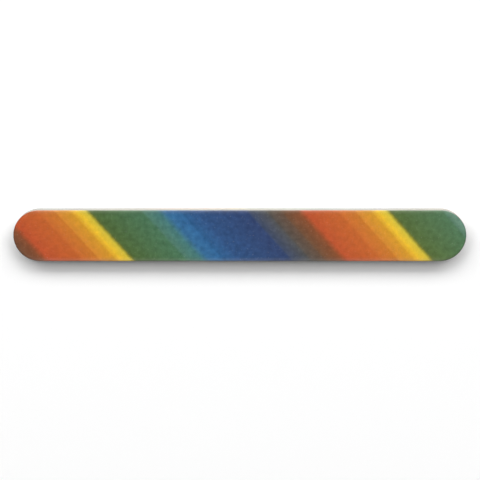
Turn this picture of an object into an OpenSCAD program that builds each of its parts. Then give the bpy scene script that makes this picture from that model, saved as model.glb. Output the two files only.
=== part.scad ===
// A cushioned emery board: a stiff core between two foam cushions, with a printed abrasive sheet
// glued to each face and the whole stack die-cut to a long strip with round ends.
// Millimetres. X runs along the board, Y across it and Z up through its layers.
// The origin is the middle of the lower face.

/* [Board] */
// Length from tip to tip
board_l = 178; // [120:1:220]
// Width, which is also the diameter of the round ends
board_w = 20.4; // [14:0.2:30]

/* [Cut edge] */
// Width of the rim where the cutting die rolled the sheet down
rim_w = 0.9; // [0.5:0.1:2]
// How far the sheet drops over that rim
rim_drop = 0.1; // [0.05:0.05:0.5]

/* [Middle layers] */
// Thickness of the stiff plastic core
core_t = 0.75; // [0.4:0.05:2]
// Thickness of each foam cushion
foam_t = 1.4; // [0.8:0.1:3]
// Thickness of the glue between the core and each cushion
core_glue_t = 0.05; // [0.02:0.01:0.2]

/* [Abrasive sheets] */
// Thickness of the glue between each cushion and its sheet
sheet_glue_t = 0.05; // [0.02:0.01:0.2]
// Thickness of the backing paper of each sheet
paper_t = 0.18; // [0.1:0.01:0.4]
// Thickness of the print, a film of ink on the paper
print_t = 0.02; // [0.01:0.005:0.05]
// Thickness of the coarse grit and clear resin on the upper face
upper_grit_t = 0.15; // [0.05:0.01:0.4]
// Thickness of the fine grit and clear resin on the lower face
lower_grit_t = 0.1; // [0.05:0.01:0.4]

/* [Print] */
// Angle by which the stripes lean from square across the board
stripe_lean = 41.6; // [0:0.1:60]
// Distance from the left tip to a red stripe, on the upper face's centre line
upper_print_x = 4.1; // [0:0.1:100]
// Distance from the left tip to a red stripe, on the lower face's centre line
lower_print_x = 48; // [0:0.1:100]
// How far each colour laps over the next
ink_lap = 0.1; // [0.05:0.05:0.5]
// Width of the red stripe, along the board
red_w = 14.5; // [3:0.1:30]
// Width of the orange stripe, along the board
orange_w = 6.8; // [3:0.1:30]
// Width of the amber stripe, along the board
amber_w = 6.4; // [3:0.1:30]
// Width of the yellow stripe, along the board
yellow_w = 6.2; // [3:0.1:30]
// Width of the green stripe, along the board
green_w = 21.5; // [3:0.1:30]
// Width of the teal stripe, along the board
teal_w = 7.5; // [3:0.1:30]
// Width of the blue stripe, along the board
blue_w = 13.4; // [3:0.1:30]
// Width of the navy stripe, along the board
navy_w = 20.4; // [3:0.1:30]
// Width of the slate stripe, along the board
slate_w = 9.8; // [3:0.1:30]
// Width of the umber stripe, along the board
umber_w = 11.2; // [3:0.1:30]

/* [Hidden] */
$fn = 96;

// Depths below a face at which its layers begin. The foam's far side is where the core glue begins.
function print_depth(grit_t) = grit_t;
function paper_depth(grit_t) = print_depth(grit_t) + print_t;
function sheet_glue_depth(grit_t) = paper_depth(grit_t) + paper_t;
function foam_depth(grit_t) = sheet_glue_depth(grit_t) + sheet_glue_t;
function core_glue_depth(grit_t) = foam_depth(grit_t) + foam_t;
function core_depth(grit_t) = core_glue_depth(grit_t) + core_glue_t;

board_t = core_depth(lower_grit_t) + core_t + core_depth(upper_grit_t);

half_w = board_w / 2;
straight_l = board_l - board_w;
// The rim's section is an arc that leaves the flat face level and drops rim_drop over rim_w.
rim_start = half_w - rim_w;
rim_r = (rim_w * rim_w + rim_drop * rim_drop) / (2 * rim_drop);
// How far a cutting shape runs past what it cuts
over = 0.5;

stripe_widths = [red_w, orange_w, amber_w, yellow_w, green_w, teal_w, blue_w, navy_w, slate_w, umber_w];
stripe_colours = [
    "#c0562f", "#cb6f31", "#d68d33", "#ebc235", "#4c6b44",
    "#4d7b6f", "#366a98", "#334d76", "#505458", "#7c5139",
];
// How far before its own place the first stripe starts: the widths of those before it, added up.
function stripe_start(i) = i == 0 ? 0 : stripe_start(i - 1) + stripe_widths[i - 1];
print_repeat = stripe_start(len(stripe_widths));
stripe_slope = tan(stripe_lean);
// Half the board's reach measured square to the stripes, as a distance along the board
reach_along = straight_l / 2 + half_w / cos(stripe_lean);

// The board's outline, seen from above
module outline() {
    square([straight_l, board_w], center = true);
    for (side = [-1, 1])
        translate([side * straight_l / 2, 0]) circle(r = half_w);
}

// A flat layer of the whole outline, from height z up
module flat_layer(z, t) {
    translate([0, 0, z]) linear_extrude(t) outline();
}

// Carries a half section round the outline: straight along both sides and turned about both ends
module round_the_board() {
    rotate([90, 0, 90]) linear_extrude(straight_l, center = true) {
        children();
        mirror([1, 0]) children();
    }
    for (side = [-1, 1])
        translate([side * straight_l / 2, 0, 0])
            rotate([0, 0, -90 * side]) rotate_extrude(angle = 180) children();
}

// In a half section, the corner that the rolled rim leaves empty at a depth below the face
module rim_corner(depth) {
    difference() {
        translate([rim_start, -depth - rim_drop - over])
            square([rim_w + 2 * over, rim_drop + 2 * over]);
        translate([rim_start, -depth - rim_r]) circle(r = rim_r);
    }
}

// In a half section, all that lies under the rolled surface at a depth below the face
module under_surface(depth) {
    difference() {
        translate([-over, -depth - rim_drop - 2 * over])
            square([half_w + 2 * over, rim_drop + 2 * over]);
        rim_corner(depth);
    }
}

// The half section of a sheet whose two surfaces are both rolled at the rim
module rolled_section(top, bottom) {
    difference() {
        translate([0, -bottom - rim_drop - over])
            square([half_w, bottom + rim_drop + over - top]);
        rim_corner(top);
        under_surface(bottom);
    }
}

// The half section of a cushion, rolled at the rim on its outside and flat against the core
module cushion_section(top, bottom) {
    difference() {
        translate([0, -bottom]) square([half_w, bottom - top]);
        rim_corner(top);
    }
}

// A sheet of one face, drawn with the face at height 0 and its layers below it
module sheet(top, t) {
    round_the_board() rolled_section(top, top + t);
}

module cushion(top) {
    round_the_board() cushion_section(top, top + foam_t);
}

// The lower face is the upper one turned over about the board's length, so its print reads alike.
module on_upper_face() {
    translate([0, 0, board_t]) children();
}

module on_lower_face() {
    rotate([180, 0, 0]) children();
}

// One slanting stripe of the print, from x on the centre line, through the depth of a rolled film
module stripe(x, w, depth) {
    rise = half_w + over;
    translate([0, 0, -depth - rim_drop - over]) linear_extrude(depth + rim_drop + 2 * over)
        polygon([
            [x - stripe_slope * rise, rise], [x + w - stripe_slope * rise, rise],
            [x + w + stripe_slope * rise, -rise], [x + stripe_slope * rise, -rise],
        ]);
}

// The ink film of a face, each colour of it cut out by that colour's stripes
module print_film(print_x, grit_t) {
    before = ceil(board_l / print_repeat) * print_repeat;
    for (i = [0 : len(stripe_widths) - 1])
        color(stripe_colours[i]) intersection() {
            sheet(print_depth(grit_t), print_t);
            for (x = [print_x - board_l / 2 + stripe_start(i) - before : print_repeat : reach_along])
                if (x + stripe_widths[i] > -reach_along)
                    stripe(x, stripe_widths[i] + ink_lap, paper_depth(grit_t));
        }
}

module core_board() {
    color("#c2c0b8") flat_layer(core_depth(lower_grit_t), core_t);
}

module core_glue(z) {
    color("#d9cfae") flat_layer(z, core_glue_t);
}

module upper_core_glue() {
    core_glue(core_depth(lower_grit_t) + core_t);
}

module lower_core_glue() {
    core_glue(core_glue_depth(lower_grit_t));
}

module foam(grit_t) {
    color("#929290") cushion(foam_depth(grit_t));
}

module upper_foam() {
    on_upper_face() foam(upper_grit_t);
}

module lower_foam() {
    on_lower_face() foam(lower_grit_t);
}

module sheet_glue(grit_t) {
    color("#d9cfae") sheet(sheet_glue_depth(grit_t), sheet_glue_t);
}

module upper_sheet_glue() {
    on_upper_face() sheet_glue(upper_grit_t);
}

module lower_sheet_glue() {
    on_lower_face() sheet_glue(lower_grit_t);
}

module paper(grit_t) {
    color("#c8c5ba") sheet(paper_depth(grit_t), paper_t);
}

module upper_paper() {
    on_upper_face() paper(upper_grit_t);
}

module lower_paper() {
    on_lower_face() paper(lower_grit_t);
}

module upper_print() {
    on_upper_face() print_film(upper_print_x, upper_grit_t);
}

module lower_print() {
    on_lower_face() print_film(lower_print_x, lower_grit_t);
}

// The grit sits in clear resin, so the print shows through it.
module grit(grit_t) {
    color("#e8e6e0", 0.15) sheet(0, grit_t);
}

module upper_grit() {
    on_upper_face() grit(upper_grit_t);
}

module lower_grit() {
    on_lower_face() grit(lower_grit_t);
}

core_board();
upper_core_glue();
lower_core_glue();
upper_foam();
lower_foam();
upper_sheet_glue();
lower_sheet_glue();
upper_paper();
lower_paper();
upper_print();
lower_print();
upper_grit();
lower_grit();
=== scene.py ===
import math
import random

import bmesh
import bpy
from bpy.props import FloatProperty, FloatVectorProperty, IntProperty, PointerProperty
from bpy.types import Operator, Panel, PropertyGroup
from mathutils import Color, Matrix, Vector, noise
from mathutils.geometry import delaunay_2d_cdt


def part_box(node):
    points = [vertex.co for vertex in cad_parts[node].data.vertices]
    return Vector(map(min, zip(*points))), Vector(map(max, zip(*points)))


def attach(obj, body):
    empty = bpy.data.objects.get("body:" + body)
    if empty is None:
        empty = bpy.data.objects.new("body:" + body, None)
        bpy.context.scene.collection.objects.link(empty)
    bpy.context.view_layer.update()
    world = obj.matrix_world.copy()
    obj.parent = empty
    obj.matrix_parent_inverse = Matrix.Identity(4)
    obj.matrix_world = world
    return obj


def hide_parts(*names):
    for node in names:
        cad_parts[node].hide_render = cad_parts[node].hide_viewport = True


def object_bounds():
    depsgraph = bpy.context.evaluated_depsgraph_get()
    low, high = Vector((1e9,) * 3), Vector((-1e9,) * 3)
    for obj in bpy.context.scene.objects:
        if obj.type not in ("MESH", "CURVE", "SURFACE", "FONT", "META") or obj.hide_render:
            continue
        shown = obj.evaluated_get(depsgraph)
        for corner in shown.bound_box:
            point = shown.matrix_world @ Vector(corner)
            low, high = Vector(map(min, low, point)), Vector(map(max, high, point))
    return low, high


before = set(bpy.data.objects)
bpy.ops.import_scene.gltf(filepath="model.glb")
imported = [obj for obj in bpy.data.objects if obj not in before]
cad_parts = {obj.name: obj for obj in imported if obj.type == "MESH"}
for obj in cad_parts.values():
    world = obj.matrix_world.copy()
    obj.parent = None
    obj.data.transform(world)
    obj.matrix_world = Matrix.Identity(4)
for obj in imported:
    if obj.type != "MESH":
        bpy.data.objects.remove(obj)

bl_info = {
    "name": "Emery board",
    "version": (1, 0, 0),
    "blender": (4, 5, 0),
    "location": "View3D > Sidebar > Emery board",
    "description": "Dresses a cushioned emery board: printed grit, die-cut foam, paper, glue and core",
    "category": "Object",
}

MM = 0.001
WHITE = (1, 1, 1, 1)
FACES = ("upper", "lower")

# The board's size and outline, as the frame holds them
CAD_LOW, CAD_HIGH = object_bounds()
BOARD_L = CAD_HIGH[0] - CAD_LOW[0]
BOARD_W = CAD_HIGH[1] - CAD_LOW[1]
BOARD_T = CAD_HIGH[2] - CAD_LOW[2]
HALF_W = BOARD_W / 2
HALF_STRAIGHT = (BOARD_L - BOARD_W) / 2
END_L = math.pi * HALF_W
OUTLINE_L = 4 * HALF_STRAIGHT + 2 * END_L

# The print's stripes in order: their name, width along the board, the display colours with which
# they start and end, and the width over which they run into the next, both widths in millimetres
STRIPES = (
    ("vermilion", 14.5, "c05633", "c56530", 0.9),
    ("orange", 6.8, "cc6e34", "cb792e", 0.9),
    ("amber", 6.4, "d88d36", "d6992d", 0.9),
    ("gold", 1.6, "e2ac32", "e6b234", 0.9),
    ("yellow", 4.6, "eec334", "d9c140", 1.7),
    ("olive", 1.7, "646e30", "5a6c38", 0.9),
    ("green", 19.8, "516a3b", "4c7557", 1.4),
    ("teal", 7.5, "537e6c", "4a7c7a", 3.4),
    ("azure", 7.1, "3a6d99", "386b9d", 1.2),
    ("blue", 6.3, "325f8d", "385b8b", 0.9),
    ("navy", 20.4, "355583", "35466f", 0.9),
    ("slate", 7.5, "424e67", "535456", 0.9),
    ("taupe", 5.8, "5a534e", "654f42", 0.9),
    ("umber", 7.7, "72503c", "864e32", 2.8),
)

# Where the fading of the right-hand tip starts and where it is full, as distances past the tip
FADE_FROM = -1 * MM
FADE_TO = 1.5 * MM

# How far past the straight sides an end's painted shade is full, as a share of the board's half width
END_FULL = 0.6

# The grains: how far each is shaken from its place in the lattice and how far the lattice stands
# clear of the ragged edge, as shares of the spacing, and the power that keeps most tips high
GRAIN_SHAKE = 0.35
GRAIN_CLEAR = 0.5
GRAIN_POWER = 1.3
# Points of the coat that are closer than this are one point
WELD = 1e-9

# A cushion's mesh: the distance between the columns of its wall, and its rows up the wall and over
# the rolled rim
WALL_STEP = 0.2 * MM
WALL_ROWS = 8
ROLL_ROWS = 3

# The maps for baked pictures: how many strips the grainy face or the cut wall is laid out in, the
# share of the map that a hidden face takes, and the margin inside every patch
COAT_STRIPS = 4
COAT_BACK = 0.08
COAT_MARGIN = 0.008
WALL_STRIPS = 10
WALL_HIDDEN = 0.1
WALL_MARGIN = 0.006
# How upright a normal is where a coat's back or a cushion's flat face begins
BACK_NORMAL = 0.5
FLAT_NORMAL = 0.8

# Each lamp's bearing from the board's far side and its height above the floor, in degrees, and the
# lengths of its sides in metres
LAMPS = {
    "key": (0, 30, (9.5, 1.4)),
    "left_side": (-55, 42, (2.9, 1.7)),
    "right_side": (55, 42, (2.9, 1.7)),
}

# The table: half its width, and how far from its middle it starts to turn plain white and ends
TABLE_HALF = 3
TABLE_FROM = 0.2
TABLE_TO = 0.5
TABLE_COLOUR = (0.98, 0.98, 0.98, 1)
# The nearest distance that the camera sees
CLIP_START = 0.01


def display(code):
    """The red, green and blue of a display colour written as six hexadecimal figures."""
    return tuple(int(code[i:i + 2], 16) / 255 for i in (0, 2, 4))


def linear(colour):
    """A display colour as the four numbers that a shader's socket takes."""
    return (*Color(colour).from_srgb_to_scene_linear(), 1)


def stripe_properties():
    """Two widths and two colours for each of the print's stripes."""
    made = {}
    for name, width, start, end, blend in STRIPES:
        title = name.title()
        made[f"{name}_width"] = FloatProperty(
            name=f"{title} width", description=f"Width of the {name} stripe along the board",
            default=width * MM, min=MM, unit="LENGTH", precision=4)
        made[f"{name}_blend"] = FloatProperty(
            name=f"{title} blend", description=f"Width over which the {name} stripe runs into the next",
            default=blend * MM, min=0, unit="LENGTH", precision=5)
        for part, code in (("start", start), ("end", end)):
            made[f"{name}_{part}"] = FloatVectorProperty(
                name=f"{title} {part}", description=f"Colour at the {part} of the {name} stripe",
                default=display(code), min=0, max=1, subtype="COLOR_GAMMA")
    return made


class EMERY_PG_print(PropertyGroup):
    """The print: where it starts on each face, how it strays and fades, and its stripes"""

    lean: FloatProperty(
        name="Lean", description="Angle by which the stripes lean from square across the board",
        default=math.radians(41.6), subtype="ANGLE")
    upper_start: FloatProperty(
        name="Upper start",
        description="From the left tip to the vermilion stripe on the upper face's centre line",
        default=4.1 * MM, unit="LENGTH", precision=4)
    lower_start: FloatProperty(
        name="Lower start",
        description="From the left tip to the vermilion stripe on the lower face's centre line",
        default=48 * MM, unit="LENGTH", precision=4)
    wander: FloatProperty(
        name="Wander", description="How far the edge of a stripe strays from a straight line",
        default=0.4 * MM, min=0, unit="LENGTH", precision=5)
    wander_size: FloatProperty(
        name="Wander size", description="Distance over which the edge of a stripe strays and comes back",
        default=1.5 * MM, min=0.1 * MM, unit="LENGTH", precision=5)
    blot_size: FloatProperty(
        name="Blot size", description="Width of the soft blots in the print's colours",
        default=2.1 * MM, min=0.1 * MM, unit="LENGTH", precision=5)
    tip_fade: FloatProperty(
        name="Tip fade", description="How far the stripe at the right-hand tip has paled",
        default=0.1, min=0, max=1, subtype="FACTOR")
    faded_colour: FloatVectorProperty(
        name="Faded", description="Colour towards which the stripe at the right-hand tip pales",
        default=display("c8e0b0"), min=0, max=1, subtype="COLOR_GAMMA")


EMERY_PG_print.__annotations__.update(stripe_properties())


class EMERY_PG_grit(PropertyGroup):
    """The two coats of grit, the rim that they roll over, and the painted sheen and painted shade at
    their cut edges
    """

    spacing: FloatProperty(
        name="Grain spacing", description="Mean distance between neighbouring grains",
        default=0.22 * MM, min=0.1 * MM, unit="LENGTH", precision=5)
    upper_grain: FloatProperty(
        name="Coarse grain", description="Width of one grain on the upper face",
        default=0.2 * MM, min=0.01 * MM, unit="LENGTH", precision=5)
    lower_grain: FloatProperty(
        name="Fine grain", description="Width of one grain on the lower face",
        default=0.13 * MM, min=0.01 * MM, unit="LENGTH", precision=5)
    upper_relief: FloatProperty(
        name="Coarse relief",
        description="How far the gaps between the upper face's grains lie below their tips",
        default=0.09 * MM, unit="LENGTH", precision=5)
    lower_relief: FloatProperty(
        name="Fine relief",
        description="How far the gaps between the lower face's grains lie below their tips",
        default=0.05 * MM, unit="LENGTH", precision=5)
    bare_colour: FloatVectorProperty(
        name="Bare grain", description="Colour of the few grains that the ink missed",
        default=display("e8e4da"), min=0, max=1, subtype="COLOR_GAMMA")
    resin_colour: FloatVectorProperty(
        name="Resin", description="Colour to which the clear resin yellows towards the right-hand end",
        default=display("e6d264"), min=0, max=1, subtype="COLOR_GAMMA")
    resin_tint: FloatProperty(
        name="Resin tint", description="How far the clear resin has yellowed at the right-hand end",
        default=0.022, min=0, max=1, subtype="FACTOR")
    # The next three set a painted sheen: a paler colour along the long sides that stands in for the
    # light that the rolled rim catches and reflects
    rim_sheen: FloatProperty(
        name="Rim sheen", description="How far the print has paled at the cut edge of the long sides",
        default=0.13, min=0, max=1, subtype="FACTOR")
    sheen_width: FloatProperty(
        name="Sheen width", description="How far in from the long sides the print has paled",
        default=2 * MM, min=0.1 * MM, unit="LENGTH", precision=5)
    sheen_colour: FloatVectorProperty(
        name="Sheen colour", description="Colour towards which the long sides pale",
        default=display("e0ddd2"), min=0, max=1, subtype="COLOR_GAMMA")
    # The next three set a painted shade: a darker colour at the cut edge of the two ends that stands in
    # for the shade on their rolled rim
    end_shade: FloatProperty(
        name="End shade",
        description="How far the print has darkened at the cut edge of the two ends",
        default=0.4, min=0, max=1, subtype="FACTOR")
    end_shade_width: FloatProperty(
        name="Shade width", description="How far in from the two ends the print has darkened",
        default=0.6 * MM, min=0.1 * MM, unit="LENGTH", precision=5)
    end_shade_colour: FloatVectorProperty(
        name="End shade colour", description="Colour towards which the two ends darken",
        default=display("3a3029"), min=0, max=1, subtype="COLOR_GAMMA")
    ragged: FloatProperty(
        name="Ragged edge",
        description="How far the coat's cut edge stands back from the outline, at most",
        default=0.06 * MM, unit="LENGTH", precision=5)
    rim_width: FloatProperty(
        name="Rim width", description="Width of the rim that the cutting die rolled down",
        default=0.9 * MM, min=0.1 * MM, unit="LENGTH", precision=4)
    rim_drop: FloatProperty(
        name="Rim drop", description="How far the sheet drops over the rim",
        default=0.1 * MM, min=0.01 * MM, unit="LENGTH", precision=5)
    seed: IntProperty(name="Seed", description="Seed of the grains' places and heights", default=7)


class EMERY_PG_layers(PropertyGroup):
    """The layers whose cut edges show between the two faces"""

    foam_colour: FloatVectorProperty(
        name="Foam", description="Colour of the foam cushions",
        default=display("989896"), min=0, max=1, subtype="COLOR_GAMMA")
    bloom_colour: FloatVectorProperty(
        name="Foam bloom", description="Colour of the paler patches of the foam",
        default=display("a8a8a4"), min=0, max=1, subtype="COLOR_GAMMA")
    # Painted shade: the darker colour given to the pits of the cut cells, where shade would fall
    pit_shade_colour: FloatVectorProperty(
        name="Pit shade", description="Colour at the bottom of the foam's cut cells",
        default=display("6a6a68"), min=0, max=1, subtype="COLOR_GAMMA")
    foam_cell: FloatProperty(
        name="Foam cell", description="Width of one cell of the foam",
        default=0.32 * MM, unit="LENGTH", precision=5)
    pit_depth: FloatProperty(
        name="Pit depth", description="Depth of the foam's cut cells",
        default=0.09 * MM, unit="LENGTH", precision=5)
    foam_uneven: FloatProperty(
        name="Foam unevenness", description="How far the cut foam strays inwards at random",
        default=0.05 * MM, unit="LENGTH", precision=5)
    foam_waist: FloatProperty(
        name="Foam waist", description="How far the cut foam draws in halfway up its wall",
        default=0.1 * MM, unit="LENGTH", precision=5)
    paper_colour: FloatVectorProperty(
        name="Paper", description="Colour of the backing paper",
        default=display("c1beb3"), min=0, max=1, subtype="COLOR_GAMMA")
    fibre_colour: FloatVectorProperty(
        name="Fibres", description="Colour of the backing paper's fibres",
        default=display("b9b19f"), min=0, max=1, subtype="COLOR_GAMMA")
    cloud_colour: FloatVectorProperty(
        name="Paper clouds", description="Colour of the uneven patches of the backing paper",
        default=display("c8bfab"), min=0, max=1, subtype="COLOR_GAMMA")
    glue_colour: FloatVectorProperty(
        name="Glue", description="Colour of the glue films at the cut edge",
        default=display("d9cfae"), min=0, max=1, subtype="COLOR_GAMMA")
    dust_colour: FloatVectorProperty(
        name="Dust", description="Colour of the dust on the glue films",
        default=display("a89c7c"), min=0, max=1, subtype="COLOR_GAMMA")
    core_colour: FloatVectorProperty(
        name="Core", description="Colour of the plastic core",
        default=display("bcbab2"), min=0, max=1, subtype="COLOR_GAMMA")
    drag_colour: FloatVectorProperty(
        name="Drag lines", description="Colour of the lines that the die dragged down the core",
        default=display("b6b3a9"), min=0, max=1, subtype="COLOR_GAMMA")


class EMERY_PG_stage(PropertyGroup):
    """The camera and the light"""

    lens: FloatProperty(
        name="Lens", description="Focal length of the camera's lens in millimetres", default=100)
    frame_width: FloatProperty(
        name="Frame width", description="Width that the picture takes in at the upper face",
        default=188.55 * MM, unit="LENGTH", precision=5)
    tilt: FloatProperty(
        name="Tilt", description="How far the camera stands off the vertical, to the board's far side",
        default=math.radians(12.8), subtype="ANGLE")
    aim_right: FloatProperty(
        name="Aim right", description="How far right of the board's middle the camera looks",
        default=0.08 * MM, unit="LENGTH", precision=5)
    aim_down: FloatProperty(
        name="Aim down", description="How far below the board's middle in the picture the camera looks",
        default=1.57 * MM, unit="LENGTH", precision=5)
    lamp_distance: FloatProperty(
        name="Lamp distance", description="How far the lamps hang from the board",
        default=4, min=1, unit="LENGTH")
    key_power: FloatProperty(
        name="Key power", description="Power of the wide soft lamp on the board's far side",
        default=293, unit="POWER")
    side_power: FloatProperty(
        name="Side power",
        description="Power of each of the two soft lamps to the key lamp's left and right",
        default=48, unit="POWER")
    fill: FloatProperty(
        name="Fill", description="Strength of the light that comes from all round", default=0.15, min=0)


class EMERY_PG_board(PropertyGroup):
    """All that can be set on the emery board"""

    inks: PointerProperty(type=EMERY_PG_print)
    grit: PointerProperty(type=EMERY_PG_grit)
    layers: PointerProperty(type=EMERY_PG_layers)
    stage: PointerProperty(type=EMERY_PG_stage)


class Value:
    """What a node gives. Arithmetic on a number adds Math nodes."""

    def __init__(self, tree, socket):
        self.tree = tree
        self.socket = socket

    def join(self, operation, *terms):
        """What a Math node makes of some numbers, each a plain one or a Value."""
        node = self.tree.nodes.new("ShaderNodeMath")
        node.operation = operation
        for term, socket in zip(terms, node.inputs):
            if isinstance(term, Value):
                self.tree.links.new(term.socket, socket)
            else:
                socket.default_value = term
        return Value(self.tree, node.outputs[0])

    def __add__(self, other):
        return self.join("ADD", self, other)

    def __radd__(self, other):
        return self.join("ADD", other, self)

    def __sub__(self, other):
        return self.join("SUBTRACT", self, other)

    def __rsub__(self, other):
        return self.join("SUBTRACT", other, self)

    def __mul__(self, other):
        return self.join("MULTIPLY", self, other)

    def __rmul__(self, other):
        return self.join("MULTIPLY", other, self)

    def __truediv__(self, other):
        return self.join("DIVIDE", self, other)

    def __rtruediv__(self, other):
        return self.join("DIVIDE", other, self)

    def __pow__(self, other):
        return self.join("POWER", self, other)

    def __rpow__(self, other):
        return self.join("POWER", other, self)

    def __mod__(self, other):
        return self.join("FLOORED_MODULO", self, other)

    def __rmod__(self, other):
        return self.join("FLOORED_MODULO", other, self)

    def __abs__(self):
        return self.join("ABSOLUTE", self)

    def at_least(self, least):
        """The number, or the least that it may be."""
        return self.join("MAXIMUM", self, least)


# Which of a Mix node's sockets are its factor, its two colours and the colour that it gives
MIX_FACTOR, MIX_FIRST, MIX_SECOND = 0, 6, 7
MIX_RESULT = 2


class Finish:
    """The nodes of a new material, or of the world."""

    def __init__(self, block):
        self.block = block
        self.block.use_nodes = True
        self.tree = self.block.node_tree
        self.tree.nodes.clear()

    def add(self, kind, settings=None, sockets=None, output=0):
        """Adds a node with its settings and its sockets' values or links, and gives an output of it."""
        node = self.tree.nodes.new(kind)
        for name, setting in (settings or {}).items():
            if name == "stops":
                self.set_stops(node.color_ramp, setting)
            else:
                setattr(node, name, setting)
        for name, given in (sockets or {}).items():
            if isinstance(given, Value):
                self.tree.links.new(given.socket, node.inputs[name])
            else:
                node.inputs[name].default_value = given
        return Value(self.tree, node.outputs[output]) if node.outputs else None

    @staticmethod
    def set_stops(ramp, stops):
        """Gives a ramp its stops, each a position and a colour of four numbers."""
        while len(ramp.elements) > 1:
            ramp.elements.remove(ramp.elements[-1])
        ramp.elements[0].position, ramp.elements[0].color = stops[0]
        for position, colour in stops[1:]:
            ramp.elements.new(position).color = colour

    def place(self):
        """The point of the board that is being coloured, in metres."""
        return self.add("ShaderNodeTexCoord", output="Object")

    def axes(self, where):
        """The three numbers of a place."""
        split = self.add("ShaderNodeSeparateXYZ", {}, {0: where}).socket.node
        return [Value(self.tree, output) for output in split.outputs]

    def vector(self, operation, *terms, output=0):
        """What a Vector Math node makes of some places."""
        return self.add(
            "ShaderNodeVectorMath", {"operation": operation}, dict(enumerate(terms)), output)

    def noise(self, where, size, detail=2.0):
        """Soft noise whose blots are about a size across, with more small ones the more detail."""
        return self.add(
            "ShaderNodeTexNoise", {}, {"Vector": where, "Scale": 1 / size, "Detail": detail}, "Fac")

    def cells(self, where, size, output, feature="F1"):
        """Rounded cells about a size across."""
        return self.add(
            "ShaderNodeTexVoronoi", {"feature": feature}, {"Vector": where, "Scale": 1 / size}, output)

    def tilted(self, where, size):
        """The height of flat facets about a size across, each tilted its own way."""
        middle = (0.5, 0.5, 0.5)
        away = self.vector("SUBTRACT", where, self.cells(where, size, "Position"))
        lean = self.vector("SUBTRACT", self.cells(where, size, "Color"), middle)
        return self.vector("DOT_PRODUCT", away, lean, output="Value") / size

    def mix(self, factor, first, second, blend_type="MIX"):
        """One colour mixed with another."""
        return self.add(
            "ShaderNodeMix", {"data_type": "RGBA", "blend_type": blend_type},
            {MIX_FACTOR: factor, MIX_FIRST: first, MIX_SECOND: second}, MIX_RESULT)

    def red(self, colour):
        """How much red a colour has, as a number."""
        return self.add("ShaderNodeSeparateColor", {}, {0: colour})

    def grey(self, number):
        """A number as the colour that is equally red, green and blue."""
        return self.add(
            "ShaderNodeCombineColor", {}, {"Red": number, "Green": number, "Blue": number})

    def ramp(self, value, low, high):
        """A number that climbs from 0 at low to 1 at high and stays there."""
        return self.add(
            "ShaderNodeMapRange", {"clamp": True},
            {"Value": value, "From Min": low, "From Max": high}, "Result")

    def spread(self, value, low, high):
        """A number between 0 and 1 stretched to run from low to high."""
        return value * (high - low) + low

    def sees_background(self):
        """1 for a ray that shows the background: the camera's, or one sent on by gloss or glass."""
        names = ("Is Camera Ray", "Is Glossy Ray", "Is Transmission Ray")
        camera, glossy, through = (self.add("ShaderNodeLightPath", output=name) for name in names)
        return camera.at_least(glossy).at_least(through)

    def bump(self, height, depth):
        """A surface whose height between 0 and 1 stands for a depth in metres."""
        return self.add("ShaderNodeBump", {}, {"Height": height, "Distance": depth, "Strength": 1.0})

    def shade(self, **sockets):
        """Ends the material in one surface. Its sockets' names have underscores for spaces."""
        surface = self.add(
            "ShaderNodeBsdfPrincipled", {},
            {name.replace("_", " "): given for name, given in sockets.items()})
        self.add("ShaderNodeOutputMaterial", {}, {"Surface": surface})
        return self.block


def stripe_stops(inks):
    """The ramp of one repeat of the print, and what the ramp needs.

    It starts in the middle of the navy stripe, because two stripes can't run into each other across
    its own ends. Gives the stops, the repeat's length, and how far the ramp starts before the
    vermilion stripe.
    """
    names = [name for name, *_ in STRIPES]
    widths = {name: getattr(inks, f"{name}_width") for name in names}
    repeat = sum(widths.values())
    at = names.index("navy")
    order = names[at + 1:] + names[:at]
    middle = linear([(start + end) / 2 for start, end in zip(inks.navy_start, inks.navy_end)])
    place = widths["navy"] / 2
    lead = place + sum(widths[name] for name in names[at + 1:])
    before = inks.navy_blend / 2
    stops = [(0, middle), ((place - before) / repeat, linear(inks.navy_end))]
    for name in order:
        stops.append(((place + before) / repeat, linear(getattr(inks, f"{name}_start"))))
        place += widths[name]
        before = getattr(inks, f"{name}_blend") / 2
        stops.append(((place - before) / repeat, linear(getattr(inks, f"{name}_end"))))
    stops.append(((place + before) / repeat, linear(inks.navy_start)))
    stops.append((1, middle))
    return stops, repeat, lead


def printed(finish, where, side, inks):
    """The print's colour on one face, seen from outside it."""
    stops, repeat, lead = stripe_stops(inks)
    x, y = finish.axes(where)[:2]
    turn = 1 if side == "upper" else -1
    across = x + y * (turn * math.tan(inks.lean))
    stray = (finish.noise(where, inks.wander_size, detail=4.0) - 0.5) * (2 * inks.wander)
    along = across + stray - (getattr(inks, f"{side}_start") - BOARD_L / 2 - lead)
    ink = finish.add(
        "ShaderNodeValToRGB", {"stops": stops}, {"Fac": (along % repeat) / repeat}, "Color")
    faded = finish.ramp(across, BOARD_L / 2 + FADE_FROM, BOARD_L / 2 + FADE_TO)
    return finish.mix(faded * inks.tip_fade, ink, linear(inks.faded_colour))


def cut_edge(finish, where):
    """How far a point lies inside the cut edge, and how far round an end it is, from 0 to 1."""
    x, y = finish.axes(where)[:2]
    past_straight = (abs(x) - HALF_STRAIGHT).at_least(0)
    from_spine = (past_straight * past_straight + y * y) ** 0.5
    return HALF_W - from_spine, finish.ramp(past_straight, 0, HALF_W * END_FULL)


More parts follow.
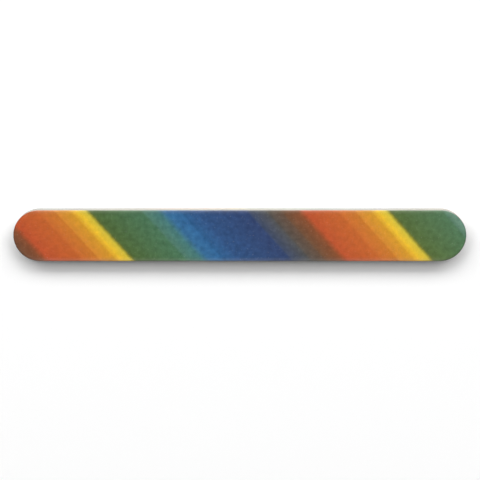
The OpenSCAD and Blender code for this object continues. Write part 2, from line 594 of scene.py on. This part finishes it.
def grain_colour(finish, where, grain, tone, board, ink):
    """The print as its grains show it: blotted, each grain in its own tone, a few of them bare, and
    painted lighter towards the right-hand end.
    """
    warm_red = 0.6
    dark_blots, warm_blots = 0.7, 0.27
    darkest_grain, palest_grain = 0.95, 1.08
    # Painted light: how much brighter the grains are made at the right-hand end than in the middle
    painted_right_light = 1.04
    bare_size = grain * 0.7
    bare_from, bare_to = 0.993, 0.997
    bare_shown = 0.2

    blots = finish.noise(where, board.inks.blot_size, detail=1.0)
    rightward = finish.ramp(finish.axes(where)[0], 0, HALF_STRAIGHT)
    depth = finish.spread(finish.ramp(finish.red(ink), 0, warm_red), dark_blots, warm_blots)
    # The grains' tone and the print's blots, with painted light that brightens them towards the
    # right-hand end
    tone_and_painted_light = (finish.spread(tone, darkest_grain, palest_grain) * ((blots - 0.5) * depth + 1)
            * finish.spread(rightward, 1, painted_right_light))
    coloured = finish.mix(1.0, ink, finish.grey(tone_and_painted_light), "MULTIPLY")
    bare = finish.ramp(finish.red(finish.cells(where, bare_size, "Color")), bare_from, bare_to)
    coloured = finish.mix(bare * bare_shown, coloured, linear(board.grit.bare_colour))
    return finish.mix(rightward * board.grit.resin_tint, coloured, linear(board.grit.resin_colour))


def with_painted_edges(finish, where, coloured, grit):
    """A colour with painted sheen along the long sides and painted shade at the two ends."""
    inset, at_end = cut_edge(finish, where)
    # Painted sheen: paler along the long sides, where the rolled rim would catch and reflect the light
    painted_sheen = finish.ramp(inset, grit.sheen_width, 0) ** 2 * (1 - at_end)
    coloured = finish.mix(painted_sheen * grit.rim_sheen, coloured, linear(grit.sheen_colour))
    # Painted shade: darker at the cut edge of the two ends, where their rolled rim would lie in shade
    painted_shade = finish.ramp(inset, grit.end_shade_width, 0) * at_end
    return finish.mix(painted_shade * grit.end_shade, coloured, linear(grit.end_shade_colour))


def grain_height(finish, where, grain, tone):
    """The height of the grains: their tilted facets, large and small, the grooves and the steps."""
    large_tilt, small_tilt = 1.6, 0.5
    small_size = grain * 0.45
    groove_width, groove_depth = 0.15, 0.12
    step = 0.35

    edge = finish.cells(where, grain, "Distance", "DISTANCE_TO_EDGE")
    groove = finish.ramp(edge, 0, groove_width)
    return (finish.tilted(where, grain) * large_tilt + finish.tilted(where, small_size) * small_tilt
            + groove * groove_depth + tone * step)


def grit_finish(side, board):
    """Sharp grains in clear resin over the print, which shows through them."""
    grain = getattr(board.grit, f"{side}_grain")
    glint_size = grain * 0.5
    relief_depth = grain * 0.3
    smoothest, roughest = 0.55, 0.85

    finish = Finish(bpy.data.materials.new(f"{side} printed grit"))
    where = finish.place()
    ink = printed(finish, where, side, board.inks)
    tone = finish.red(finish.cells(where, grain, "Color"))
    coloured = grain_colour(finish, where, grain, tone, board, ink)
    glint = finish.red(finish.cells(where, glint_size, "Color"))
    return finish.shade(
        Base_Color=with_painted_edges(finish, where, coloured, board.grit),
        Roughness=finish.spread(glint, smoothest, roughest), Specular_IOR_Level=0.05,
        Normal=finish.bump(grain_height(finish, where, grain, tone), relief_depth))


def print_finish(side, board):
    """The film of ink, satin where its edge shows."""
    finish = Finish(bpy.data.materials.new(f"{side} ink film"))
    where = finish.place()
    ink = printed(finish, where, side, board.inks)
    return finish.shade(Base_Color=ink, Roughness=0.5)


def paper_finish(board):
    """Backing paper with its fibres."""
    fibre_size = 0.25 * MM
    fibre_squeeze = (1, 1, 4)
    fibre_depth = 0.02 * MM
    fibre_shown = 0.5
    cloud_size = 6 * MM
    cloud_shown = 0.25
    smoothest, roughest = 0.75, 0.95

    finish = Finish(bpy.data.materials.new("backing paper"))
    where = finish.place()
    layers = board.layers
    squeezed = finish.vector("MULTIPLY", where, fibre_squeeze)
    fibres = finish.noise(squeezed, fibre_size, detail=5.0)
    cloud = finish.noise(where, cloud_size)
    shaded = finish.mix(fibres * fibre_shown, linear(layers.paper_colour), linear(layers.fibre_colour))
    shaded = finish.mix(cloud * cloud_shown, shaded, linear(layers.cloud_colour))
    return finish.shade(
        Base_Color=shaded, Roughness=finish.spread(fibres, smoothest, roughest),
        Normal=finish.bump(fibres, fibre_depth))


def glue_finish(board):
    """Pressure-sensitive glue, glossy and picking up dust at the cut edge."""
    dust_size = 0.4 * MM
    dust_depth = 0.01 * MM
    dust_shown = 0.4
    glossiest, dullest = 0.25, 0.6

    finish = Finish(bpy.data.materials.new("glue film"))
    dust = finish.noise(finish.place(), dust_size, detail=4.0)
    glue, dusty = linear(board.layers.glue_colour), linear(board.layers.dust_colour)
    return finish.shade(
        Base_Color=finish.mix(dust * dust_shown, glue, dusty),
        Roughness=finish.spread(dust, glossiest, dullest), Normal=finish.bump(dust, dust_depth))


def core_finish(board):
    """Off-white polystyrene, with the die's fine drag lines down its cut edge."""
    drag_size = 0.12 * MM
    drag_stretch = (1, 1, 0.12)
    drag_depth = 0.015 * MM
    drag_shown = 0.3
    smoothest, roughest = 0.4, 0.62

    finish = Finish(bpy.data.materials.new("core plastic"))
    stretched = finish.vector("MULTIPLY", finish.place(), drag_stretch)
    drag = finish.noise(stretched, drag_size, detail=3.0)
    core, dragged = linear(board.layers.core_colour), linear(board.layers.drag_colour)
    return finish.shade(
        Base_Color=finish.mix(drag * drag_shown, core, dragged),
        Roughness=finish.spread(drag, smoothest, roughest), Normal=finish.bump(drag, drag_depth))


def foam_finish(board):
    """Closed-cell foam, its cells cut open by the die into round pits of two sizes, with painted shade
    in the pits.
    """
    layers = board.layers
    large_size = layers.foam_cell
    small_size = layers.foam_cell * 0.45
    large_pits, small_pits = 0.65, 0.45
    pit_rim, pit_floor = 0.6, 0.1
    shallowest, deepest = 0.1, 0.9
    bloom_size = 4 * MM
    bloom_shown = 0.15
    smoothest, roughest = 0.8, 1.0

    finish = Finish(bpy.data.materials.new("cut foam"))
    where = finish.place()
    large, small = (
        finish.ramp(finish.cells(where, size, "Distance"), pit_rim, pit_floor)
        * finish.ramp(finish.red(finish.cells(where, size, "Color")), shallowest, deepest)
        for size in (large_size, small_size))
    pit = large * large_pits + small * small_pits
    # Painted shade: the pits are coloured darker, where shade would fall in them
    shaded = finish.mix(pit, linear(layers.foam_colour), linear(layers.pit_shade_colour))
    bloom = finish.noise(where, bloom_size)
    return finish.shade(
        Base_Color=finish.mix(bloom * bloom_shown, shaded, linear(layers.bloom_colour)),
        Roughness=finish.spread(large, smoothest, roughest), Specular_IOR_Level=0.2,
        Normal=finish.bump(1 - pit, layers.pit_depth))


def table_finish():
    """A white table that keeps the board's shadow and runs out to plain white."""
    finish = Finish(bpy.data.materials.new("white table"))
    away = finish.vector("LENGTH", finish.place(), output="Value")
    table = finish.add("ShaderNodeBsdfDiffuse", {}, {"Color": TABLE_COLOUR})
    white = finish.add("ShaderNodeEmission", {}, {"Color": WHITE, "Strength": 1.0})
    plain = finish.sees_background() * finish.ramp(away, TABLE_FROM, TABLE_TO)
    surface = finish.add("ShaderNodeMixShader", {}, {0: plain, 1: table, 2: white})
    finish.add("ShaderNodeOutputMaterial", {}, {"Surface": surface})
    return finish.block


def surround_finish(fill):
    """A white surround whose light on the board has a strength of its own."""
    finish = Finish(bpy.data.worlds.new("white surround"))
    light = finish.add("ShaderNodeBackground", {}, {
        "Color": WHITE, "Strength": finish.spread(finish.sees_background(), fill, 1)})
    finish.add("ShaderNodeOutputWorld", {}, {"Surface": light})
    return finish.block


def outline_point(share, inset=0.0):
    """The point at a share of the way round the outline, moved inwards.

    The way starts at the left end of the near side and runs anticlockwise.
    """
    run = (share % 1) * OUTLINE_L
    radius = HALF_W - inset
    if run < 2 * HALF_STRAIGHT:
        return run - HALF_STRAIGHT, -radius
    run -= 2 * HALF_STRAIGHT
    if run < END_L:
        angle = run / HALF_W - math.pi / 2
        return HALF_STRAIGHT + radius * math.cos(angle), radius * math.sin(angle)
    run -= END_L
    if run < 2 * HALF_STRAIGHT:
        return HALF_STRAIGHT - run, radius
    angle = (run - 2 * HALF_STRAIGHT) / HALF_W + math.pi / 2
    return radius * math.cos(angle) - HALF_STRAIGHT, radius * math.sin(angle)


def outline_share(at):
    """How far round the outline a point beside it lies, from 0 to 1, as outline_point counts."""
    if abs(at.x) <= HALF_STRAIGHT:
        run = at.x + HALF_STRAIGHT if at.y < 0 else 3 * HALF_STRAIGHT - at.x + END_L
    elif at.x > 0:
        run = 2 * HALF_STRAIGHT + (math.atan2(at.y, at.x - HALF_STRAIGHT) + math.pi / 2) * HALF_W
    else:
        angle = math.atan2(at.y, at.x + HALF_STRAIGHT) % (2 * math.pi)
        run = 4 * HALF_STRAIGHT + (math.pi / 2 + angle) * HALF_W
    return run / OUTLINE_L


def edge_distance(x, y):
    """How far a point of the face lies inside the outline."""
    return HALF_W - math.hypot(max(abs(x) - HALF_STRAIGHT, 0), y)


def rim_fall(inset, grit):
    """How far the rolled rim lies below the flat face at a distance inside the outline."""
    reach = max(grit.rim_width - inset, 0)
    radius = (grit.rim_width ** 2 + grit.rim_drop ** 2) / (2 * grit.rim_drop)
    return radius - math.sqrt(radius ** 2 - reach ** 2)


def new_piece(name, points, faces, finish):
    """A smooth mesh piece of one finish."""
    mesh = bpy.data.meshes.new(name)
    mesh.from_pydata(points, [], faces)
    mesh.materials.append(finish)
    mesh.polygons.foreach_set("use_smooth", [True] * len(mesh.polygons))
    mesh.update()
    piece = bpy.data.objects.new(name, mesh)
    bpy.context.scene.collection.objects.link(piece)
    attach(piece, "root")
    return piece


def mend_normals(mesh):
    """Turns every face outwards."""
    work = bmesh.new()
    work.from_mesh(mesh)
    bmesh.ops.recalc_face_normals(work, faces=work.faces)
    work.to_mesh(mesh)
    work.free()


def map_places(mesh, place_on_map):
    """Lays the faces out on the map that the mesh's baked pictures use.

    place_on_map takes a face's middle and normal, and gives what places a point of that face.
    """
    layer = mesh.uv_layers.new(name="OFBake")
    for face in mesh.polygons:
        where = place_on_map(face.center, face.normal)
        for loop in face.loop_indices:
            layer.data[loop].uv = where(mesh.vertices[mesh.loops[loop].vertex_index].co)


def patch(across, up, base, height, margin):
    """The place on the map of a point of a patch, which is as wide as the map and starts at a base."""
    return margin + (1 - 2 * margin) * across, base + margin + (height - 2 * margin) * up


def board_shares(at):
    """How far along the board and across it a point lies, each from 0 to 1."""
    return at.x / BOARD_L + 0.5, at.y / BOARD_W + 0.5


def coat_map(side):
    """Where a coat's faces lie on its map: the grainy face in strips, then the hidden back."""
    tall = (1 - COAT_BACK) / COAT_STRIPS

    def strip_for(middle, normal):
        outward = normal.z if side == "upper" else -normal.z
        strip = min(int(board_shares(middle)[0] * COAT_STRIPS), COAT_STRIPS - 1)

        def on_back(at):
            along, across = board_shares(at)
            return patch(along, 1 - across, 1 - COAT_BACK, COAT_BACK, COAT_MARGIN)

        def on_face(at):
            along, across = board_shares(at)
            return patch(along * COAT_STRIPS - strip, across, strip * tall, tall, COAT_MARGIN)

        return on_back if outward < -BACK_NORMAL else on_face

    return strip_for


def cushion_map(low, high):
    """Where a cushion's faces lie on its map: its cut wall in strips, then its hidden faces."""
    tall = (1 - 2 * WALL_HIDDEN) / WALL_STRIPS

    def strip_for(middle, normal):
        base = 1 - WALL_HIDDEN * (1 if normal.z > 0 else 2)
        share = outline_share(middle)
        strip = min(int(share * WALL_STRIPS), WALL_STRIPS - 1)

        def on_flat(at):
            return patch(*board_shares(at), base, WALL_HIDDEN, WALL_MARGIN)

        def on_wall(at):
            around = outline_share(at)
            around += round(share - around)
            up = (at.z - low) / (high - low)
            return patch(around * WALL_STRIPS - strip, up, strip * tall, tall, WALL_MARGIN)

        return on_flat if abs(normal.z) > FLAT_NORMAL else on_wall

    return strip_for


def turned(points, side):
    """Points of a face drawn upwards from height 0, brought to the upper face or turned to the lower."""
    if side == "upper":
        return [(x, y, z + BOARD_T) for x, y, z in points]
    return [(x, -y, -z) for x, y, z in points]


def grain_points(grit, dice):
    """The flat places of a coat's grains, and how many are in its ragged outline, which come first.

    The others are a shaken lattice of triangles inside the outline.
    """
    count = round(OUTLINE_L / grit.spacing)
    points = [outline_point(i / count, dice.uniform(0, grit.ragged)) for i in range(count)]
    row_height = grit.spacing * math.sqrt(3) / 2
    shake = grit.spacing * GRAIN_SHAKE
    clear = grit.ragged + grit.spacing * GRAIN_CLEAR
    for row in range(int(BOARD_W / row_height) + 1):
        for column in range(int(BOARD_L / grit.spacing) + 1):
            x = (column + 0.5 * (row % 2)) * grit.spacing - BOARD_L / 2 + dice.uniform(-shake, shake)
            y = row * row_height - HALF_W + dice.uniform(-shake, shake)
            if edge_distance(x, y) > clear:
                points.append((x, y))
    return count, points


def in_hollow(face, points, rim):
    """Whether a triangle fills a hollow of the ragged outline.

    The outline's points, as many as rim says, come first and run anticlockwise.
    """
    if max(face) >= rim:
        return False
    first, second, third = (points[i] for i in sorted(face))
    return (second - first).cross(third - first) < 0


def coat(side, board, finish):
    """One face's coat of grit: a field of sharp grains that ends at the cut edge, closed behind."""
    grit = board.grit
    dice = random.Random(grit.seed + FACES.index(side))
    relief = getattr(grit, f"{side}_relief")
    low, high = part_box(f"{side}_grit")
    thick = high.z - low.z - grit.rim_drop
    rim, flat = grain_points(grit, dice)
    loop = [(i, (i + 1) % rim) for i in range(rim)]
    # The triangles fill the outline's whole hull, so those in the hollows of its ragged edge go.
    flat, _, faces, *_ = delaunay_2d_cdt([Vector(p) for p in flat], loop, [], 0, WELD, False)
    faces = [face for face in faces if not in_hollow(face, flat, rim)]
    points = []
    for x, y in flat:
        sunk = relief * dice.random() ** GRAIN_POWER
        points.append((x, y, -rim_fall(edge_distance(x, y), grit) - sunk))
    top = len(points)
    # The back follows the rolled rim from under the cut edge to where the sheet lies flat.
    for x, y, _ in points[:rim]:
        points.append((x, y, -rim_fall(edge_distance(x, y), grit) - thick))
    for i in range(rim):
        points.append((*outline_point(i / rim, grit.rim_width), -thick))
    for i, after in loop:
        faces.append((i, top + i, top + after, after))
        faces.append((top + i, top + rim + i, top + rim + after, top + after))
    faces.append(tuple(range(top + 2 * rim - 1, top + rim - 1, -1)))
    piece = new_piece(f"{side}_grit_coat", turned(points, side), faces, finish)
    mend_normals(piece.data)
    map_places(piece.data, coat_map(side))
    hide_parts(f"{side}_grit")


def cushion(side, board, finish):
    """One foam cushion: flat on the core, rolled under the sheet, its cut wall waisted and uneven."""
    grit, layers = board.grit, board.layers
    low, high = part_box(f"{side}_foam")
    tall = high.z - low.z
    depth = BOARD_T - high.z if side == "upper" else low.z
    columns = round(OUTLINE_L / WALL_STEP)
    wall = tall - grit.rim_drop
    points = []
    # The cut wall, from the core up to the edge of the rolled rim
    for row in range(WALL_ROWS + 1):
        up = row / WALL_ROWS
        waist = layers.foam_waist * (1 - (2 * up - 1) ** 2)
        z = -depth - tall + up * wall
        for column in range(columns):
            at = Vector((*outline_point(column / columns), z)) / layers.foam_cell
            uneven = layers.foam_uneven * (0.5 + 0.5 * noise.noise(at))
            points.append((*outline_point(column / columns, waist + uneven), z))
    # The rolled rim, from the cut wall in to where the cushion lies flat
    for row in range(1, ROLL_ROWS + 1):
        inset = grit.rim_width * row / ROLL_ROWS
        z = -depth - rim_fall(inset, grit)
        for column in range(columns):
            points.append((*outline_point(column / columns, inset), z))
    faces = [tuple(range(columns - 1, -1, -1))]
    rings = WALL_ROWS + ROLL_ROWS
    for start in range(0, rings * columns, columns):
        for column in range(columns):
            here, after = start + column, start + (column + 1) % columns
            faces.append((here, after, after + columns, here + columns))
    faces.append(tuple(range(rings * columns, (rings + 1) * columns)))
    piece = new_piece(f"{side}_foam_cushion", turned(points, side), faces, finish)
    mend_normals(piece.data)
    map_places(piece.data, cushion_map(low.z, high.z))
    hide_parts(f"{side}_foam")


def dress(node, finish):
    """Gives a carried-over CAD piece its finish."""
    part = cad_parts[node]
    part.data.materials.clear()
    part.data.materials.append(finish)


class EMERY_OT_set_stage(Operator):
    """Set the camera, the lamps and the white table"""

    bl_idname = "emery_board.set_stage"
    bl_label = "Set the stage"

    def execute(self, context):
        scene = context.scene
        stage = scene.emery_board.stage
        self.place_camera(scene, stage)
        for name, (bearing, height, sides) in LAMPS.items():
            power = stage.key_power if name == "key" else stage.side_power
            self.hang_lamp(scene, name, bearing, height, sides, power, stage.lamp_distance)
        self.lay_table(scene)
        scene.world = surround_finish(stage.fill)
        scene.view_settings.view_transform = "Standard"
        return {"FINISHED"}

    def place_camera(self, scene, stage):
        """Looks down on the board from a little to its far side, with the far side at the top."""
        data = bpy.data.cameras.new("camera")
        data.lens = stage.lens
        data.clip_start = CLIP_START
        camera = bpy.data.objects.new("camera", data)
        distance = stage.frame_width * stage.lens / data.sensor_width
        turn = Matrix.Rotation(-stage.tilt, 4, "X")
        aim = turn @ Vector((stage.aim_right, -stage.aim_down, distance))
        camera.matrix_world = Matrix.Translation(aim + Vector((0, 0, BOARD_T))) @ turn
        scene.collection.objects.link(camera)
        scene.camera = camera

    def hang_lamp(self, scene, name, bearing, height, sides, power, distance):
        """A soft lamp that faces the board, placed by its bearing and height in degrees."""
        data = bpy.data.lights.new(name, "AREA")
        data.shape = "RECTANGLE"
        data.size, data.size_y = sides
        data.energy = power
        lamp = bpy.data.objects.new(name, data)
        upward = math.radians(height)
        turn = Matrix.Rotation(math.radians(-bearing), 3, "Z")
        away = turn @ Vector((0, math.cos(upward), math.sin(upward)))
        lamp.location = away * distance
        lamp.rotation_euler = away.to_track_quat("Z", "Y").to_euler()
        scene.collection.objects.link(lamp)

    def lay_table(self, scene):
        """The white table under the board."""
        mesh = bpy.data.meshes.new("table")
        corners = [
            (x * TABLE_HALF, y * TABLE_HALF, 0) for x, y in ((-1, -1), (1, -1), (1, 1), (-1, 1))]
        mesh.from_pydata(corners, [], [(0, 1, 2, 3)])
        mesh.materials.append(table_finish())
        table = bpy.data.objects.new("table", mesh)
        scene.collection.objects.link(table)


class EMERY_OT_coat_grit(Operator):
    """Make the two coats of printed grit"""

    bl_idname = "emery_board.coat_grit"
    bl_label = "Coat the grit"

    def execute(self, context):
        board = context.scene.emery_board
        for side in FACES:
            coat(side, board, grit_finish(side, board))
        return {"FINISHED"}


class EMERY_OT_print_sheets(Operator):
    """Colour the two printed films"""

    bl_idname = "emery_board.print_sheets"
    bl_label = "Print the sheets"

    def execute(self, context):
        board = context.scene.emery_board
        for side in FACES:
            dress(f"{side}_print", print_finish(side, board))
        return {"FINISHED"}


class EMERY_OT_back_sheets(Operator):
    """Give the two backing papers their fibres"""

    bl_idname = "emery_board.back_sheets"
    bl_label = "Back the sheets"

    def execute(self, context):
        finish = paper_finish(context.scene.emery_board)
        for side in FACES:
            dress(f"{side}_paper", finish)
        return {"FINISHED"}


class EMERY_OT_spread_glue(Operator):
    """Give the four films of glue their finish"""

    bl_idname = "emery_board.spread_glue"
    bl_label = "Spread the glue"

    def execute(self, context):
        finish = glue_finish(context.scene.emery_board)
        for side in FACES:
            dress(f"{side}_core_glue", finish)
            dress(f"{side}_sheet_glue", finish)
        return {"FINISHED"}


class EMERY_OT_cut_cushions(Operator):
    """Make the two foam cushions with their die-cut walls"""

    bl_idname = "emery_board.cut_cushions"
    bl_label = "Cut the cushions"

    def execute(self, context):
        board = context.scene.emery_board
        finish = foam_finish(board)
        for side in FACES:
            cushion(side, board, finish)
        return {"FINISHED"}


class EMERY_OT_press_core(Operator):
    """Give the plastic core its finish"""

    bl_idname = "emery_board.press_core"
    bl_label = "Press the core"

    def execute(self, context):
        dress("core_board", core_finish(context.scene.emery_board))
        return {"FINISHED"}


class EMERY_PT_board(Panel):
    """The emery board's steps, in order, and all its settings"""

    bl_idname = "EMERY_PT_board"
    bl_label = "Emery board"
    bl_space_type = "VIEW_3D"
    bl_region_type = "UI"
    bl_category = "Emery board"

    def draw(self, context):
        for step in STEPS:
            self.layout.operator(step.bl_idname)
        board = context.scene.emery_board
        for group in (board.inks, board.grit, board.layers, board.stage):
            box = self.layout.box()
            for name in group.bl_rna.properties.keys():
                if name not in ("rna_type", "name"):
                    box.prop(group, name)


GROUPS = (EMERY_PG_print, EMERY_PG_grit, EMERY_PG_layers, EMERY_PG_stage, EMERY_PG_board)
STEPS = (
    EMERY_OT_set_stage,
    EMERY_OT_coat_grit,
    EMERY_OT_print_sheets,
    EMERY_OT_back_sheets,
    EMERY_OT_spread_glue,
    EMERY_OT_cut_cushions,
    EMERY_OT_press_core,
)


def register():
    for kind in (*GROUPS, *STEPS, EMERY_PT_board):
        bpy.utils.register_class(kind)
    bpy.types.Scene.emery_board = PointerProperty(type=EMERY_PG_board)


def unregister():
    del bpy.types.Scene.emery_board
    for kind in (EMERY_PT_board, *reversed(STEPS), *reversed(GROUPS)):
        bpy.utils.unregister_class(kind)


def main():
    register()
    bpy.ops.emery_board.set_stage()
    bpy.ops.emery_board.coat_grit()
    bpy.ops.emery_board.print_sheets()
    bpy.ops.emery_board.back_sheets()
    bpy.ops.emery_board.spread_glue()
    bpy.ops.emery_board.cut_cushions()
    bpy.ops.emery_board.press_core()


if __name__ == "__main__":
    main()
